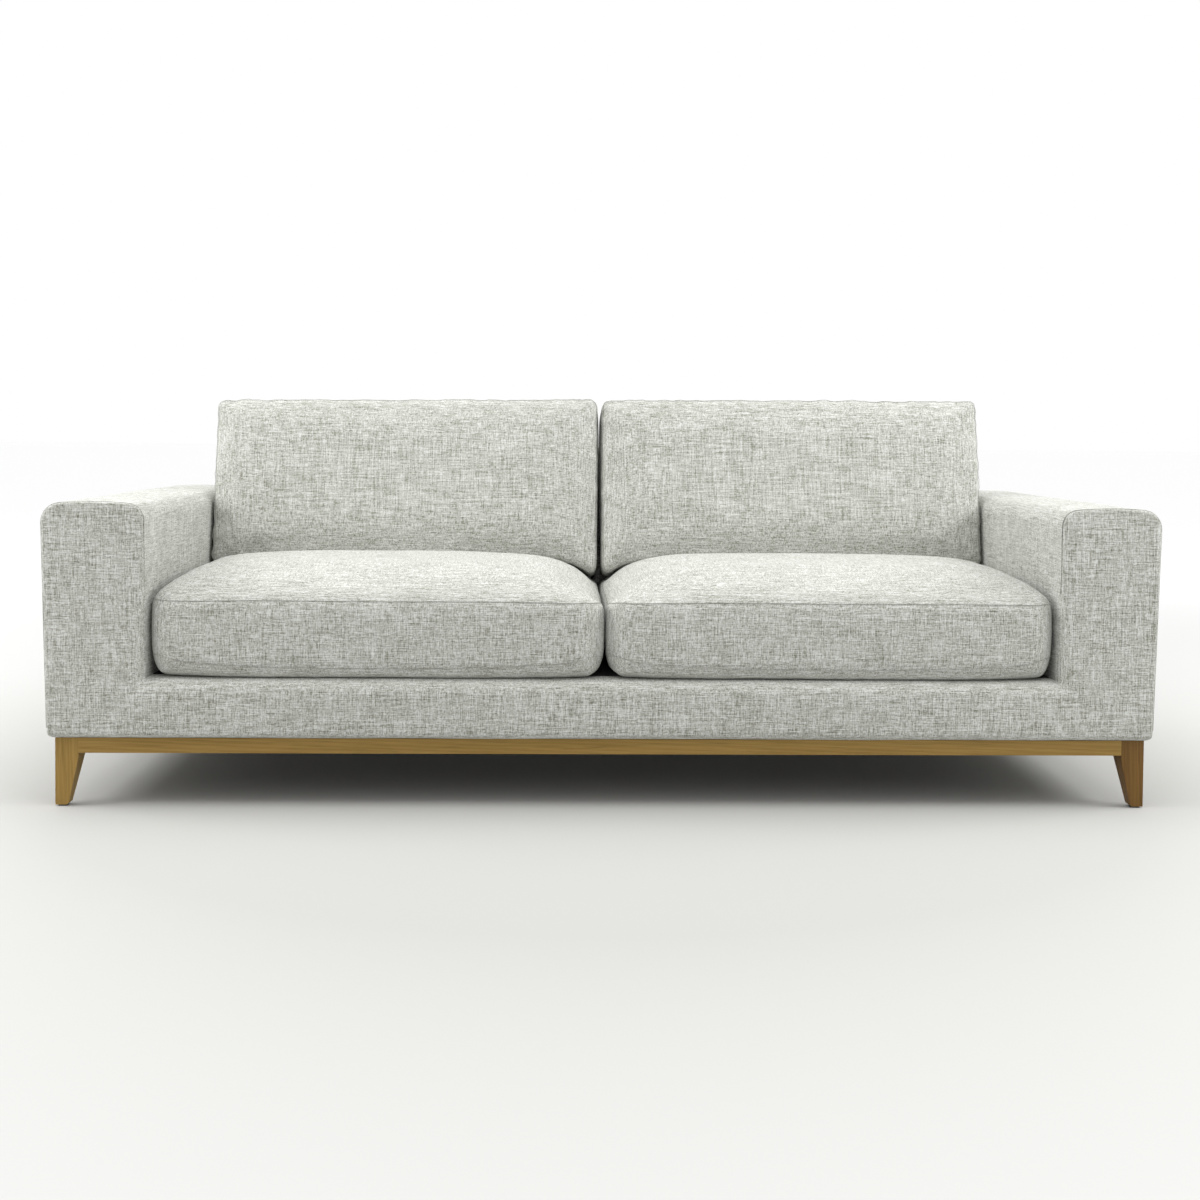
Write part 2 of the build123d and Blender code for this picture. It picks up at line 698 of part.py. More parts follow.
def zip_parts(middle_x, rear, z):
    """Tape let into the boxing, with its coil standing proud, and the slider round the coil."""
    x0, x1 = middle_x - ZIP_LENGTH / 2, middle_x + ZIP_LENGTH / 2
    tape = block(x0, x1, rear - ZIP_THICK, rear, z - ZIP_WIDTH / 2, z + ZIP_WIDTH / 2)
    coil = rod((x0, rear, z), (x1, rear, z), COIL_RADIUS)
    coil = coil & block(x0, x1, rear, rear + 5, z - 5, z + 5)
    tape_and_coil = tape + coil
    slide_x = x0 + 14
    body = block(slide_x - 7, slide_x + 7, rear + 0.3, rear + 3.4, z - 4.5, z + 4.5)
    groove = rod((slide_x - 8, rear, z), (slide_x + 8, rear, z), COIL_RADIUS + 0.4)
    return tape_and_coil, body - groove


# a seat cushion is drawn in place, a back cushion in its own upright frame
in_place = Pos(0, 0, 0)
leaning = Pos(0, BACK_CUSHION_FRONT, BACK_CUSHION_FOOT) * Rot(-LEAN, 0, 0)
for kind, filling, solid_of, place, rear, zip_z in (
    ("seat", "core", seat_solid, in_place, SEAT_REAR, 336.0),
    ("back", "fill", back_solid, leaning, BACK_CUSHION_THICK, 60.0),
):
    outer, core_solid = solid_of(0), solid_of(CLOTH)
    zip_tape, slider = zip_parts(INNER / 2, rear, zip_z)
    cover = outer - core_solid - zip_tape
    for name, side in SIDES.items():
        node(f"{kind}_cushion_cover_{name}", mirror_x(place * cover, side))
        node(f"{kind}_cushion_{filling}_{name}", mirror_x(place * core_solid, side))
        node(f"{kind}_zip_{name}", mirror_x(place * zip_tape, side))
        node(f"{kind}_zip_slider_{name}", mirror_x(place * slider, side))


# ---- write every node ----------------------------------------------------------------------
os.makedirs("parts", exist_ok=True)
for name, solids in nodes.items():
    shape = solids[0] if len(solids) == 1 else Compound(children=solids)
    shape.label = name
    export_step(shape, f"parts/{name}.step")
print(len(nodes), "nodes")
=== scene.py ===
import json
import math

import bpy
import numpy as np
from mathutils import Matrix, Vector, noise


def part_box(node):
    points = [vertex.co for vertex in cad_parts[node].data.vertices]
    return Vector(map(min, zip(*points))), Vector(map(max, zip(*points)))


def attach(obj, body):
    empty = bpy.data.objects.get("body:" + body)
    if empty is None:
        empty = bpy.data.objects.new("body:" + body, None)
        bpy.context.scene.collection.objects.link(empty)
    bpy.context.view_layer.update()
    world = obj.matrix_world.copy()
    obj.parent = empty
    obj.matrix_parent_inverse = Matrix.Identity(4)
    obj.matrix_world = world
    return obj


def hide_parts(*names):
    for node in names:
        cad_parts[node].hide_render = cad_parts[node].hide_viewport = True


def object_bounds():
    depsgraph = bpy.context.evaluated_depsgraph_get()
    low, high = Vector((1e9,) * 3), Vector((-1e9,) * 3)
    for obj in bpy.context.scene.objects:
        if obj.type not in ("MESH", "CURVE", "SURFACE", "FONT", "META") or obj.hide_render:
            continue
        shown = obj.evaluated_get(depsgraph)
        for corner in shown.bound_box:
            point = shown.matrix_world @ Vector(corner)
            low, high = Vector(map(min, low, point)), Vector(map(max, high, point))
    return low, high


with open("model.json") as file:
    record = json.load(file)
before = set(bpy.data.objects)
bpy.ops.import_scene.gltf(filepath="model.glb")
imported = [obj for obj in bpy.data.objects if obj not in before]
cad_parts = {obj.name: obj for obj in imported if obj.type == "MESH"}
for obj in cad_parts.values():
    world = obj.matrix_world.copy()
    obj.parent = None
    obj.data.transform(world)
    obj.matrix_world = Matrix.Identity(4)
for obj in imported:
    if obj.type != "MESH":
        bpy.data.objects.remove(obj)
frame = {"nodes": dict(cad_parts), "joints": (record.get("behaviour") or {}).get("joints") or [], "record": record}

CAD_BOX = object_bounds()
MM = 0.001
NODES = frame["nodes"]
SIDES = {"left": -1, "right": 1}
LIFT_AXIS = next(j["axis"] for j in frame["joints"] if j["name"] == "back_cushion_left_up")
LEAN = math.atan2(LIFT_AXIS[1], LIFT_AXIS[2])     # how far the back cushions lean, radians


# ---- camera, lights, floor ---------------------------------------------------------------------
def add_camera():
    """Camera at the photograph's viewing angle."""
    pan, tilt, roll = 0.0268, 0.0336, 0.0086
    ahead = Vector((math.sin(pan) * math.cos(tilt), math.cos(pan) * math.cos(tilt), -math.sin(tilt)))
    right = Vector((math.cos(pan), -math.sin(pan), 0))
    up = right.cross(ahead)
    right_rolled = right * math.cos(roll) + up * math.sin(roll)
    up_rolled = up * math.cos(roll) - right * math.sin(roll)
    data = bpy.data.cameras.new("camera")
    data.lens, data.sensor_width, data.shift_y = 45.16, 36.0, -0.10
    camera = bpy.data.objects.new("camera", data)
    axes = Matrix((right_rolled, up_rolled, -ahead)).transposed().to_4x4()
    front = CAD_BOX[0][1]
    camera.matrix_world = Matrix.Translation((-0.093, front - 2.937, 0.746)) @ axes
    bpy.context.scene.collection.objects.link(camera)
    bpy.context.scene.camera = camera


def add_light(name, place, target, size, power):
    data = bpy.data.lights.new(name, "AREA")
    data.shape, data.size, data.size_y, data.energy = "RECTANGLE", size[0], size[1], power
    light = bpy.data.objects.new(name, data)
    light.location = place
    aim = Vector(target) - Vector(place)
    light.rotation_euler = aim.to_track_quat("-Z", "Y").to_euler()
    bpy.context.scene.collection.objects.link(light)


def add_floor():
    """Plain pale floor, with painted shade: darker round the sofa than far off."""
    half = 60.0
    mesh = bpy.data.meshes.new("floor")
    corners = [(-half, -half, 0), (half, -half, 0), (half, half, 0), (-half, half, 0)]
    mesh.from_pydata(corners, [], [(0, 1, 2, 3)])
    floor = bpy.data.objects.new("floor", mesh)
    bpy.context.scene.collection.objects.link(floor)
    m = Shade("pale_floor_painted_shade")
    away = m.node("ShaderNodeVectorMath", {0: m.coords["Object"]}, operation="LENGTH").outputs["Value"]
    # painted shade: the floor's colour darkens within about 1.2 m of the sofa's middle and pales out towards 5 m,
    # like a shadow round it
    color = m.mix(m.span(away, 1.2, 5.0), (0.42, 0.42, 0.405), (0.985, 0.985, 0.985))
    m.finish(color, roughness=0.9)
    mesh.materials.append(m.material)


def add_studio():
    """White surround, one broad light overhead and a softbox high on each side."""
    world = bpy.data.worlds.new("studio")
    world.use_nodes = True
    background = world.node_tree.nodes["Background"]
    background.inputs["Color"].default_value = (1, 1, 1, 1)
    background.inputs["Strength"].default_value = 1.0
    bpy.context.scene.world = world
    add_light("overhead", (-0.4, -0.35, 3.4), (-0.1, 0.0, 0.4), (6.0, 2.2), 72)
    for side in SIDES.values():
        add_light("side_softbox", (side * 2.8, -0.45, 1.9), (-side * 0.7, 0, 0.5), (1.6, 1.2), 56)
    bpy.context.scene.view_settings.view_transform = "Standard"
    add_floor()


# ---- materials ---------------------------------------------------------------------------------
class Shade:
    """A node material and the few calls that the materials below are made of."""

    def __init__(self, name):
        self.material = bpy.data.materials.new(name)
        self.material.use_nodes = True
        self.tree = self.material.node_tree
        self.shader = self.tree.nodes["Principled BSDF"]
        self.coords = self.node("ShaderNodeTexCoord").outputs

    def node(self, kind, inputs=None, **settings):
        made = self.tree.nodes.new(kind)
        for key, value in settings.items():
            setattr(made, key, value)
        for key, value in (inputs or {}).items():
            self.put(made.inputs[key], value)
        return made

    def put(self, socket, value):
        if isinstance(value, bpy.types.NodeSocket):
            self.tree.links.new(value, socket)
        elif isinstance(value, (tuple, list)) and len(value) == 3 and socket.type == "RGBA":
            socket.default_value = (*value, 1)
        else:
            socket.default_value = value

    def math(self, operation, a, b=0.0):
        return self.node("ShaderNodeMath", {0: a, 1: b}, operation=operation).outputs[0]

    def stretched(self, scale, turn=(0, 0, 0)):
        """Object coordinates, turned and then scaled along each axis."""
        turned = self.node(
            "ShaderNodeMapping", {"Vector": self.coords["Object"], "Rotation": turn}
        ).outputs[0]
        return self.node(
            "ShaderNodeVectorMath", {0: turned, 1: tuple(scale)}, operation="MULTIPLY"
        ).outputs[0]

    def noise(self, vector, scale=1.0, detail=2.0, roughness=0.55, distortion=0.0):
        return self.node(
            "ShaderNodeTexNoise",
            {"Vector": vector, "Scale": scale, "Detail": detail, "Roughness": roughness,
             "Distortion": distortion},
        ).outputs["Fac"]

    def span(self, value, low, high, to_low=0.0, to_high=1.0):
        """Map a range of values onto another, held at its ends."""
        return self.node(
            "ShaderNodeMapRange",
            {"Value": value, "From Min": low, "From Max": high, "To Min": to_low, "To Max": to_high},
        ).outputs["Result"]

    def mix(self, factor, a, b):
        made = self.node("ShaderNodeMix", data_type="RGBA")
        for index, value in ((0, factor), (6, a), (7, b)):
            self.put(made.inputs[index], value)
        return made.outputs[2]

    def bump(self, height, strength, distance, under=None):
        inputs = {"Height": height, "Strength": strength, "Distance": distance}
        if under is not None:
            inputs["Normal"] = under
        return self.node("ShaderNodeBump", inputs).outputs[0]

    def finish(self, color, roughness, normal=None, metallic=0.0, sheen=0.0, shine=0.5):
        self.put(self.shader.inputs["Base Color"], color)
        self.put(self.shader.inputs["Roughness"], roughness)
        self.shader.inputs["Metallic"].default_value = metallic
        self.shader.inputs["Sheen Weight"].default_value = sheen
        self.shader.inputs["Specular IOR Level"].default_value = shine
        if normal is not None:
            self.put(self.shader.inputs["Normal"], normal)
        return self.material


def by_facing(m, values):
    """Mix three values, each fading out on faces that look along its own axis."""
    normal = m.node("ShaderNodeSeparateXYZ", {0: m.coords["Normal"]}).outputs
    total, weights = None, None
    for axis in range(3):
        weight = m.math("SUBTRACT", 1.0, m.math("POWER", m.math("ABSOLUTE", normal[axis]), 2.0))
        part = m.math("MULTIPLY", weight, values[axis])
        total = part if total is None else m.math("ADD", total, part)
        weights = weight if weights is None else m.math("ADD", weights, weight)
    return m.math("DIVIDE", total, weights)


def threads(m, length, width, turn):
    """Noise drawn out into dashes along each axis: yarns of a length and width in metres."""
    dashes = []
    for axis in range(3):
        scale = [1.0 / width] * 3
        scale[axis] = 1.0 / length
        dashes.append(m.noise(m.stretched(scale, turn), detail=1.0))
    return by_facing(m, dashes)


def woven(name, dark, mid, light, lean=0.0, sheen=0.15):
    """Slubby plain weave: pale yarns with darker flecks that run along both yarns."""
    m = Shade(name)
    turn = (lean, 0, 0)
    slub = threads(m, 0.028, 0.0018, turn)
    long_slub = threads(m, 0.085, 0.0026, turn)
    fine = threads(m, 0.0065, 0.0011, turn)
    cloud = m.noise(m.coords["Object"], 16.0, 3.0)
    value = m.math("ADD", m.math("MULTIPLY", slub, 0.36), m.math("MULTIPLY", long_slub, 0.22))
    value = m.math("ADD", value, m.math("MULTIPLY", fine, 0.42))
    value = m.math("ADD", value, m.math("MULTIPLY", m.math("SUBTRACT", cloud, 0.5), 0.05))
    darker = m.mix(m.span(value, 0.385, 0.475), dark, mid)
    color = m.mix(m.span(value, 0.475, 0.575), darker, light)
    yarn = m.bump(fine, 0.45, 0.0009)
    normal = m.bump(slub, 0.5, 0.0012, yarn)
    roughness = m.span(value, 0.3, 0.7, 0.98, 0.86)
    return m.finish(color, roughness, normal, sheen=sheen, shine=0.25)


def grained(name, dark, light, along, pores=0.5):
    """Straight-grained timber, with the grain along one axis."""
    m = Shade(name)
    slow, fast = [60.0] * 3, [1100.0] * 3
    slow[along], fast[along] = 2.4, 16.0
    figure = m.noise(m.stretched(slow), 1.0, 4.0, 0.6, 0.6)
    rings = m.node(
        "ShaderNodeTexWave",
        {"Vector": m.stretched(slow), "Scale": 1.3, "Distortion": 5.0,
         "Detail": 3.0, "Detail Scale": 1.2},
        wave_type="BANDS", bands_direction="DIAGONAL",
    ).outputs["Fac"]
    pore = m.noise(m.stretched(fast), 1.0, 2.0)
    tone = m.math("ADD", m.math("MULTIPLY", figure, 0.82), m.math("MULTIPLY", rings, 0.18))
    color = m.mix(m.span(tone, 0.28, 0.72), dark, light)
    flecks = m.span(pore, 0.56, 0.72, 0.0, pores)
    color = m.mix(flecks, color, [c * 0.45 for c in dark])
    roughness = m.span(tone, 0.3, 0.7, 0.56, 0.42)
    return m.finish(color, roughness, m.bump(pore, 0.18, 0.0004), shine=0.22)


def metal(name, color, roughness):
    m = Shade(name)
    scratch = m.noise(m.stretched((900, 900, 60)), 1.0, 2.0)
    tint = m.mix(m.span(scratch, 0.3, 0.7), [c * 0.78 for c in color], color)
    return m.finish(tint, m.span(scratch, 0.3, 0.7, roughness, roughness + 0.18),
                    m.bump(scratch, 0.1, 0.0002), metallic=1.0)


def cellular(name, dark, light, scale, roughness=0.95):
    """Foam, felt, hardboard and moulded plastic: fine cells and a shade that drifts."""
    m = Shade(name)
    cells = m.noise(m.coords["Object"], scale, 3.0)
    cloud = m.noise(m.coords["Object"], 14.0, 2.0)
    tone = m.math("ADD", m.math("MULTIPLY", cells, 0.6), m.math("MULTIPLY", cloud, 0.4))
    return m.finish(m.mix(m.span(tone, 0.35, 0.65), dark, light), roughness,
                    m.bump(cells, 0.4, 0.0006))


CLOTH_DARK, CLOTH_MID, CLOTH_LIGHT = (0.125, 0.121, 0.090), (0.330, 0.334, 0.296), (0.60, 0.61, 0.585)
add_camera()
add_studio()
upholstery = woven("upholstery", CLOTH_DARK, CLOTH_MID, CLOTH_LIGHT)
upholstery_leaning = woven("upholstery_leaning", CLOTH_DARK, CLOTH_MID, CLOTH_LIGHT, lean=LEAN)
# seam thread darker than the cloth: real thread, and painted shade of the dark line along each seam
seam_thread_and_shade = woven("seam_thread_and_shade", (0.11, 0.11, 0.085), (0.26, 0.26, 0.23), (0.42, 0.42, 0.39))
OAK_DARK, OAK_LIGHT = (0.225, 0.136, 0.032), (0.320, 0.200, 0.055)
oak = [grained(f"oak_grain_{'xyz'[a]}", OAK_DARK, OAK_LIGHT, a) for a in range(3)]
# painted shade: a darker, browner copy of the oak for the right-hand legs, which get less light
oak_painted_shade = grained("oak_leg_painted_shade", (0.105, 0.052, 0.010), (0.175, 0.092, 0.022), 2)
NODE_MATERIALS = {
    "frame_timber": grained("frame_timber", (0.46, 0.32, 0.17), (0.66, 0.51, 0.31), 0, 0.2),
    "hardboard": cellular("hardboard", (0.13, 0.08, 0.045), (0.20, 0.13, 0.08), 900.0, 0.7),
    "black_cloth": woven("black_cloth", (0.004, 0.004, 0.004), (0.010, 0.010, 0.010),
                         (0.022, 0.022, 0.022), sheen=0.05),
    "foam": cellular("foam", (0.70, 0.62, 0.36), (0.82, 0.75, 0.50), 1300.0),
    "felt": cellular("felt", (0.10, 0.10, 0.10), (0.24, 0.23, 0.23), 500.0),
    "webbing": woven("webbing", (0.01, 0.01, 0.012), (0.03, 0.03, 0.034), (0.07, 0.07, 0.07)),
    "spring_steel": metal("spring_steel", (0.20, 0.20, 0.21), 0.32),
    "zinc_steel": metal("zinc_steel", (0.62, 0.62, 0.62), 0.28),
    "glide_plastic": cellular("glide_plastic", (0.035, 0.033, 0.03), (0.06, 0.057, 0.052), 300.0, 0.5),
    "zip_tape": woven("zip_tape", (0.30, 0.30, 0.27), (0.42, 0.42, 0.39), (0.52, 0.52, 0.49)),
    "upholstery": upholstery,
    "oak": oak[0],
}


# ---- mesh helpers ------------------------------------------------------------------------------
def new_piece(name, points, faces, material, body, replaced=()):
    mesh = bpy.data.meshes.new(name)
    mesh.from_pydata([tuple(p) for p in points], [], [tuple(f) for f in faces])
    mesh.validate()
    mesh.update()
    piece = bpy.data.objects.new(name, mesh)
    bpy.context.scene.collection.objects.link(piece)
    mesh.materials.append(material)
    mesh.polygons.foreach_set("use_smooth", [True] * len(mesh.polygons))
    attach(piece, body)
    if replaced:
        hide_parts(*replaced)
    return piece


def apply_modifiers(piece):
    """Swap the mesh for the one that its modifiers make of it."""
    graph = bpy.context.evaluated_depsgraph_get()
    done = bpy.data.meshes.new_from_object(piece.evaluated_get(graph))
    piece.modifiers.clear()
    old = piece.data
    piece.data = done
    bpy.data.meshes.remove(old)


def subdivide(piece):
    modifier = piece.modifiers.new("smooth", "SUBSURF")
    modifier.levels = modifier.render_levels = 1
    apply_modifiers(piece)


def points_of(mesh):
    flat = np.empty(len(mesh.vertices) * 3)
    mesh.vertices.foreach_get("co", flat)
    return flat.reshape(-1, 3)


def set_points(mesh, points):
    mesh.vertices.foreach_set("co", np.ascontiguousarray(points, dtype=float).ravel())
    mesh.update()


def smooth_noise(points, scale, seed):
    """Smooth noise from -1 to 1 at each point; scale is in features per metre."""
    offset = Vector((seed * 7.3, seed * 3.1, seed * 11.7))
    return np.array([noise.noise(Vector(p) * scale + offset) for p in points])


def tube(path, radius, closed=True):
    """Points and faces of a thin six-sided tube along a path."""
    sides = 6
    path = np.asarray(path)
    count = len(path)
    ahead = np.roll(path, -1, 0) - np.roll(path, 1, 0)
    if not closed:
        ahead[0], ahead[-1] = path[1] - path[0], path[-1] - path[-2]
    ahead /= np.linalg.norm(ahead, axis=1)[:, None] + 1e-12
    hint = np.where(np.abs(ahead[:, 2:3]) > 0.9, [[1.0, 0, 0]], [[0, 0, 1.0]])
    across = np.cross(ahead, hint)
    across /= np.linalg.norm(across, axis=1)[:, None]
    upward = np.cross(across, ahead)
    points, faces = [], []
    for i in range(count):
        for k in range(sides):
            angle = 2 * math.pi * k / sides
            points.append(path[i] + radius * (math.cos(angle) * across[i] + math.sin(angle) * upward[i]))
    for i in range(count if closed else count - 1):
        for k in range(sides):
            a, b = i * sides + k, i * sides + (k + 1) % sides
            c, d = ((i + 1) % count) * sides + (k + 1) % sides, ((i + 1) % count) * sides + k
            faces.append((a, b, c, d))
    if not closed:
        faces.append(tuple(range(sides))[::-1])
        faces.append(tuple((count - 1) * sides + k for k in range(sides)))
    return points, faces


# ---- sleeves: a section run along an axis, with puffed end panels and a seam round each --------
def rounded_section(corners, step=0.012):
    """Closed outline through corners (a, b, radius), with arcs and evenly spaced points."""
    outline = []
    count = len(corners)
    for i, (a, b, radius) in enumerate(corners):
        here = np.array((a, b))
        before, after = (np.array(corners[(i + d) % count][:2]) for d in (-1, 1))
        u, v = (before - here), (after - here)
        u, v = u / np.linalg.norm(u), v / np.linalg.norm(v)
        half = math.acos(np.clip(np.dot(u, v), -1, 1)) / 2
        reach = radius / math.tan(half)
        centre = here + (u + v) / np.linalg.norm(u + v) * radius / math.sin(half)
        start, end = here + u * reach, here + v * reach
        steps = max(2, int(round((math.pi - 2 * half) * radius / min(step, radius / 2 + 1e-4))))
        angle_0 = math.atan2(*(start - centre)[::-1])
        angle_1 = math.atan2(*(end - centre)[::-1])
        turn = (angle_1 - angle_0 + math.pi) % (2 * math.pi) - math.pi
        for s in range(steps + 1):
            angle = angle_0 + turn * s / steps
            outline.append(centre + radius * np.array((math.cos(angle), math.sin(angle))))
    filled = []
    for i, here in enumerate(outline):
        after = outline[(i + 1) % len(outline)]
        gap = np.linalg.norm(after - here)
        pieces = max(1, int(gap / step))
        filled += [here + (after - here) * s / pieces for s in range(pieces)]
    return np.array(filled)


def sleeve(section, low, high, lift, puff=0.003, step=0.014, seam=0.0022, starts=None):
    """Points, faces and the two end seams of a sleeve from low to high.

    lift turns (a, b, position) into a point. The ends are soft panels with a sewn edge. With
    starts, the low end begins at a position of its own at each point and is closed flat inside."""
    count = len(section)
    runs = int((high - low) / step)
    stations = [low + (high - low) * i / runs for i in range(runs + 1)]
    stations[1:1] = [low + seam]
    stations[-1:-1] = [high - seam]
    centre = section.mean(0)
    inward = centre - section
    inward /= np.linalg.norm(inward, axis=1)[:, None]
    rings = []
    begin = np.full(count, low) if starts is None else starts
    for position in stations:
        sunk = seam * 0.7 if position in (low, high) else 0.0
        share = (position - low) / (high - low)
        ring = section + inward * sunk
        rings.append([lift(a, b, s + (high - s) * share) for (a, b), s in zip(ring, begin)])
    points = [p for ring in rings for p in ring]
    faces = []
    for r in range(len(rings) - 1):
        for k in range(count):
            a, b = r * count + k, r * count + (k + 1) % count
            faces.append((a, b, b + count, a + count))
    spread = (0.985, 0.955, 0.90, 0.82, 0.72, 0.60, 0.48, 0.36, 0.24, 0.12)
    for end, position, outward in ((0, low, -1), (len(rings) - 1, high, 1)):
        previous = [end * count + k for k in range(count)]
        for share in spread:
            swell = puff * (1 - share ** 6) + seam * 0.2
            if starts is not None and outward < 0:
                swell = low - begin.max() - 4 * MM
            ring = centre + (section - centre) * share
            first = len(points)
            points += [lift(a, b, position + outward * swell) for a, b in ring]
            current = [first + k for k in range(count)]
            for k in range(count):
                quad = (previous[k], current[k], current[(k + 1) % count], previous[(k + 1) % count])
                faces.append(quad if outward < 0 else quad[::-1])
            previous = current
        first = len(points)
        points.append(lift(*centre, position + outward * swell))
        for k in range(count):
            tri = (previous[k], first, previous[(k + 1) % count])
            faces.append(tri if outward < 0 else tri[::-1])
    return points, faces, (rings[0], rings[-1])


def slacken(piece, height, scale, seed):
    """Slack in stretched cloth: a broad, shallow ripple."""
    mesh = piece.data
    points = points_of(mesh)
    normals = np.array([v.normal for v in mesh.vertices])
    ripple = smooth_noise(points, scale, seed) * height
    ripple += smooth_noise(points, scale * 3.5, seed + 5) * height * 0.35
    set_points(mesh, points + normals * ripple[:, None])


def seam_line(name, path, body, radius=0.0008, closed=True):
    """A line of seam thread along a path, darker than the cloth: real thread, with painted shade of the seam's
    groove.
    """
    points, faces = tube(path, radius, closed=closed)
    new_piece(name, points, faces, seam_thread_and_shade, body)


def graded(low, high, count):
    """Numbers from low to high that lie closer together at both ends."""
    return [low + (high - low) * (1 - math.cos(math.pi * i / count)) / 2 for i in range(count + 1)]


ARM_COLUMNS = 18        # cells across an arm, in the front cloth and in the sleeve
BASE_COLUMNS = 96       # cells along the base front
BASE_ROWS, ARM_ROWS = 14, 32


class FrontShape:
    """Outline and depth of the front: two arms and the base front in one stretch of cloth."""

    def __init__(self):
        low, high = (Vector(corner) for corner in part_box("arm_cover_right"))
        nose_low, nose_high = (Vector(corner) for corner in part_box("front_rail_cover"))
        self.inner, self.outer, self.low = low.x, high.x, low.z
        self.front, self.rear = low.y, high.y
        self.crown, self.taper = 6 * MM, 11 * MM
        self.shoulder = high.z - self.crown
        self.base_top, self.base_rear = nose_high.z, nose_high.y
        self.round_inner, self.round_outer, self.round_low = 0.030, 0.036, 0.012
        self.seam_edge, self.soft_edge = 0.004, 0.023

    def place(self, x, z):
        """Where a point of the square grid over the right arm lies on the real outline."""
        for edge, corner_z, radius in (
            (self.inner, self.shoulder, self.round_inner),
            (self.outer, self.shoulder, self.round_outer),
            (self.outer, self.low, self.round_low),
        ):
            dx, dz = radius - abs(edge - x), radius - abs(corner_z - z)
            if dx > 0 and dz > 0:
                reach, angle = max(dx, dz), math.atan2(dz, dx)
                centre_x = edge + (radius if edge == self.inner else -radius)
                centre_z = corner_z + (radius if corner_z == self.low else -radius)
                x = centre_x + math.copysign(reach * math.cos(angle), edge - centre_x)
                z = centre_z + math.copysign(reach * math.sin(angle), corner_z - centre_z)
        across = (x - self.inner) / (self.outer - self.inner)
        crown_fade = 0.1
        rise = min(max((z - self.shoulder) / crown_fade + 1, 0), 1)
        tall = (z - self.low) / (self.shoulder - self.low)
        z += self.crown * (1 - (2 * across - 1) ** 2) * rise
        return x - self.taper * (1 - tall) * across, z

    def inner_edge(self, z):
        """Radius of the arm's inner front edge: sewn and crisp above the seat, soft below it."""
        crisp_above, fade = 0.455, 0.13
        share = min(max((crisp_above - z) / fade, 0), 1)
        return self.seam_edge + (self.soft_edge - self.seam_edge) * share * share * (3 - 2 * share)

    def depth(self, x, z):
        """How far the cloth lies behind the very front, from the place on the square grid."""
        def drop(gap, radius):
            return 0.0 if gap >= radius else radius - math.sqrt(max(radius ** 2 - (radius - gap) ** 2, 0))

        gap_low = z - self.low
        if x < self.inner:
            gap_side, radius = self.base_top - z, self.soft_edge
            gap_seam = 1.0
        else:
            gap_seam = min(self.outer - x, self.shoulder - z)
            below = max(self.base_top - z, 0)
            gap_side, radius = math.hypot(x - self.inner, below), self.inner_edge(z)
        nearest = min(gap_low, gap_side, gap_seam)
        puff = 2 * MM * (1 - math.exp(-max(nearest, 0) / 0.03))
        deep = max(drop(gap_low, self.round_low), drop(gap_side, radius), drop(gap_seam, self.seam_edge))
        # the fold where the cloth is pulled round the corner between arm and base
        corner_x, corner_z = x - self.inner, z - self.base_top
        away = math.hypot(corner_x, corner_z)
        off_line = (corner_x + corner_z) / math.sqrt(2)
        deepest, width, length = 3.2 * MM, 9 * MM, 32 * MM
        fold = deepest * math.exp(-((off_line / width) ** 2)) * math.exp(-away / length)
        return 2 * MM - puff + deep + fold * (corner_z < 0.01)


def make_front(shape):
    """One closed piece for both arm fronts and the base front."""
    arm_x = graded(shape.inner, shape.outer, ARM_COLUMNS)
    base_x = graded(-shape.inner, shape.inner, BASE_COLUMNS)
    rows = graded(shape.low, shape.base_top, BASE_ROWS)
    upper = graded(shape.base_top, shape.shoulder, ARM_ROWS)[1:]
    columns = [-x for x in reversed(arm_x)] + base_x[1:-1] + arm_x
    levels = rows + upper
    cells = [
        (i, j)
        for i in range(len(columns) - 1)
        for j in range(len(levels) - 1)
        if j < len(rows) - 1 or abs(columns[i] + columns[i + 1]) / 2 > shape.inner
    ]
    points, index = [], {}

    def corner(i, j, back):
        key = (i, j, back)
        if key not in index:
            x, z = columns[i], levels[j]
            side = -1 if x < 0 else 1
            if abs(x) < shape.inner:
                place_x, place_z = abs(x), z
            else:
                place_x, place_z = shape.place(abs(x), z)
            y = shape.front + shape.depth(abs(x), z)
            if back:
                y = shape.base_rear
                if abs(x) > shape.inner - 1e-6:
                    # the rear edge lies a little inside the sleeve behind it
                    tuck_share, tuck_down = 0.02, 3 * MM
                    middle = (shape.inner + shape.outer) / 2
                    place_x += (middle - place_x) * tuck_share
                    place_z -= tuck_down * (z > shape.base_top)
            index[key] = len(points)
            points.append((side * place_x, y, place_z))
        return index[key]

    edges, faces = [], []
    for i, j in cells:
        ring = ((i, j), (i + 1, j), (i + 1, j + 1), (i, j + 1))
        faces.append([corner(*c, False) for c in ring])
        faces.append([corner(*c, True) for c in reversed(ring)])
        edges += zip(ring, ring[1:] + ring[:1])
    known = set(edges)
    for a, b in edges:
        # an edge that no neighbour shares is on the outline, where front and rear are joined
        if (b, a) not in known:
            faces.append([corner(*b, False), corner(*a, False), corner(*a, True), corner(*b, True)])
    piece = new_piece("front_cloth", points, faces, upholstery, "frame",
                      ("front_rail_cover", "front_rail_foam"))
    slacken(piece, 0.9 * MM, 6.0, 11)
    subdivide(piece)


